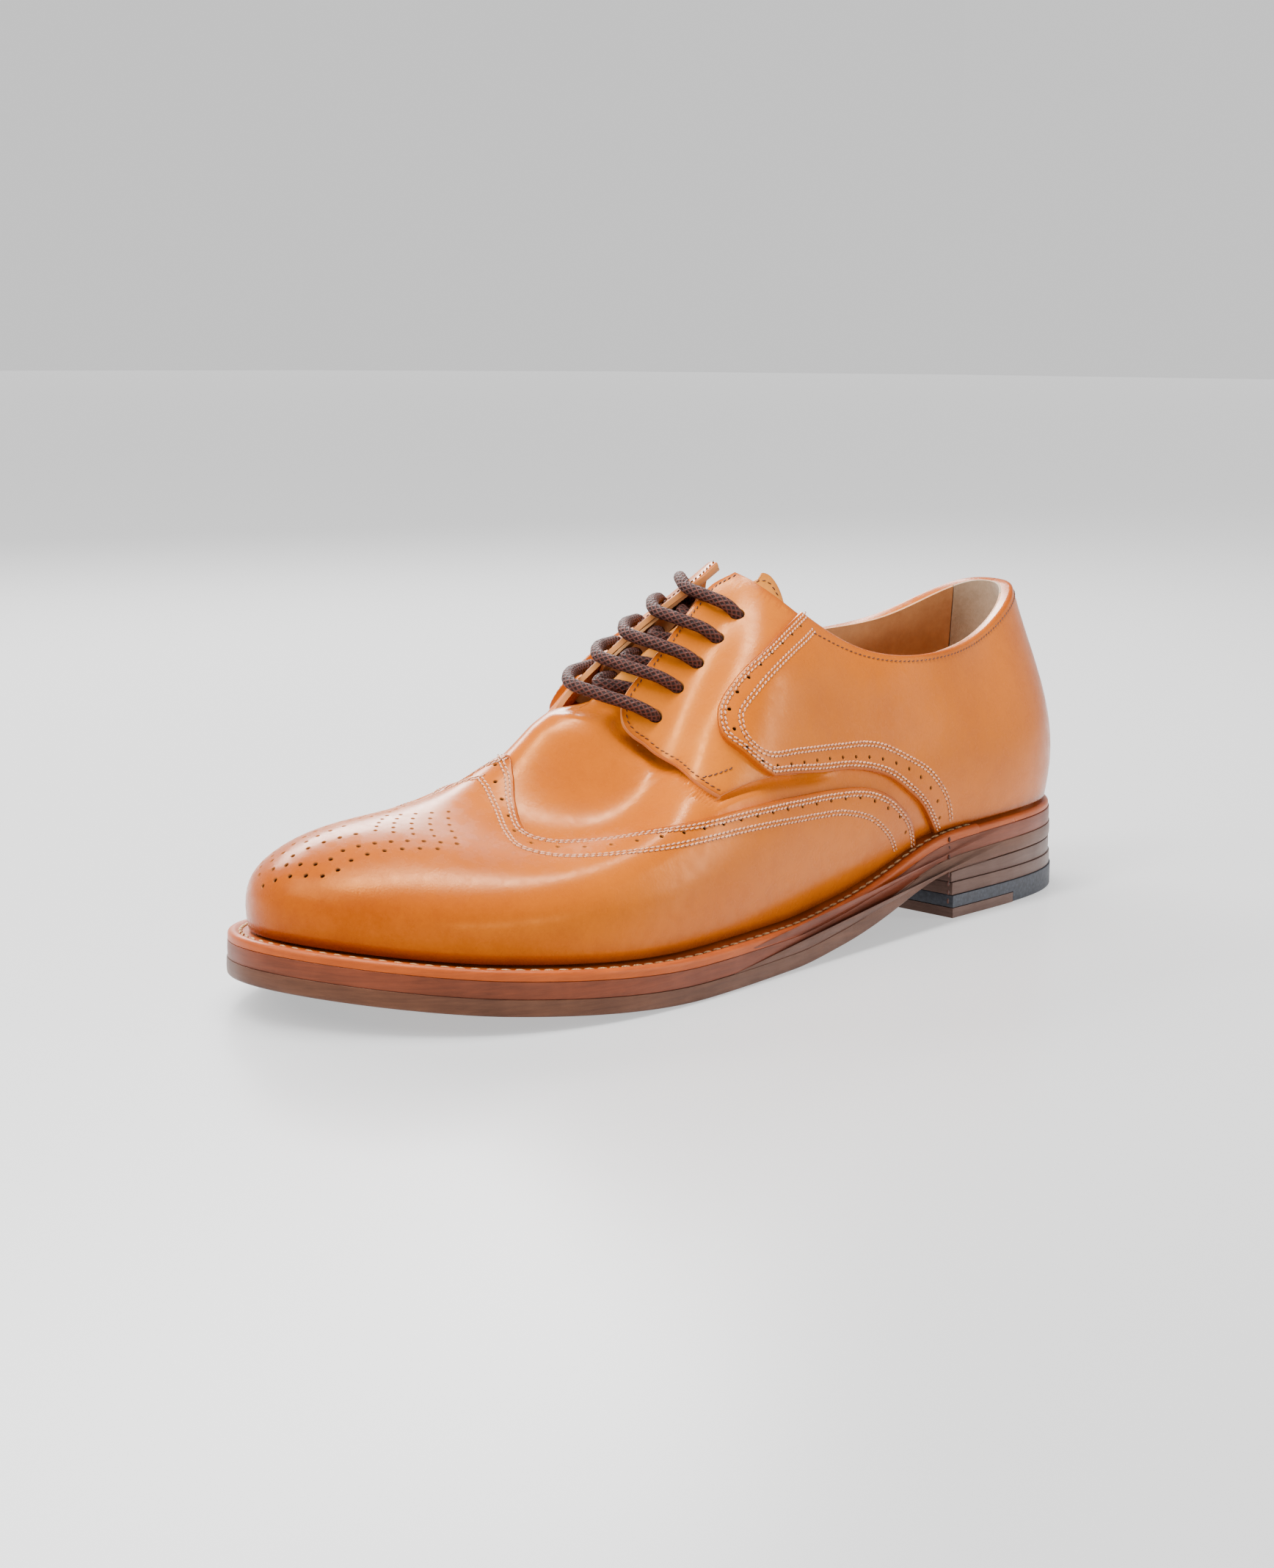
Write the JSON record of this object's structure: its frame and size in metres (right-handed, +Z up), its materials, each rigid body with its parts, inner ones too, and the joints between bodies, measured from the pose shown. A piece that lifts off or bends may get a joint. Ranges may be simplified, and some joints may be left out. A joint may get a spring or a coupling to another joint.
{
  "type": "leather_derby_shoe",
  "caption": "Left tan leather lace-up shoe with a punched wing cap, derby lace tabs, straight lacing, double leather sole, stacked heel and leather lining",
  "frame": {"origin": "centre of the footprint's bounding box, on the ground under the sole", "axes": "+Z up, -Y towards the toe, +Y towards the heel, +X towards the outer side of the foot"},
  "size_m": [0.1106, 0.3066, 0.1092],
  "materials": {
    "upper_leather": "polished, burnished tan",
    "sole_leather": "waxed edge",
    "welt_leather": "waxed edge",
    "insole_leather": "natural, matt",
    "heel_leather": "waxed edge",
    "lining_leather": "natural, matt",
    "suede": "brushed, matt",
    "cork": "granular, matt",
    "steel": "rolled",
    "rubber": "matt",
    "stiffener": "stiffened, matt",
    "lace_cotton": "waxed, woven",
    "aglet_plastic": "gloss",
    "brass": "dull"
  },
  "bodies": {
    "shoe": {"outsole": "sole_leather", "midsole": "sole_leather", "welt": "welt_leather", "heel_rand": "welt_leather", "insole": "insole_leather", "cork_filler": "cork", "heel_seat_filler": "insole_leather", "shank": "steel", "heel_lift_upper": "heel_leather", "heel_lift_lower": "heel_leather", "rubber_heel_lift": "rubber", "heel_top_piece": "heel_leather", "vamp": "upper_leather", "wing_cap": "upper_leather", "facing_left": "upper_leather", "facing_right": "upper_leather", "quarter_left": "upper_leather", "quarter_right": "upper_leather", "vamp_lining": "lining_leather", "quarter_lining_left": "lining_leather", "quarter_lining_right": "lining_leather", "heel_grip_lining": "suede", "toe_puff": "stiffener", "heel_counter": "stiffener", "sock_liner": "lining_leather", "shoelace": "lace_cotton", "aglet_1": "aglet_plastic", "aglet_2": "aglet_plastic", "heel_pin_1": "brass", "eyelet_left_1": "brass", "eyelet_right_1": "brass", "heel_pin_2": "brass", "eyelet_left_2": "brass", "eyelet_right_2": "brass", "heel_pin_3": "brass", "eyelet_left_3": "brass", "eyelet_right_3": "brass", "heel_pin_4": "brass", "eyelet_left_4": "brass", "eyelet_right_4": "brass", "heel_pin_5": "brass", "eyelet_left_5": "brass", "eyelet_right_5": "brass"},
    "tongue": {"tongue": "upper_leather", "tongue_lining": "lining_leather"}
  },
  "joints": [
    {"name": "tongue_hinge", "type": "hinge", "parent": "shoe", "child": "tongue", "pos_m": [-0.0025, -0.0334, 0.0745], "axis": [1, 0, 0], "range_deg": [-10, 0], "stiffness_Nm_per_rad": 0.5}
  ]
}
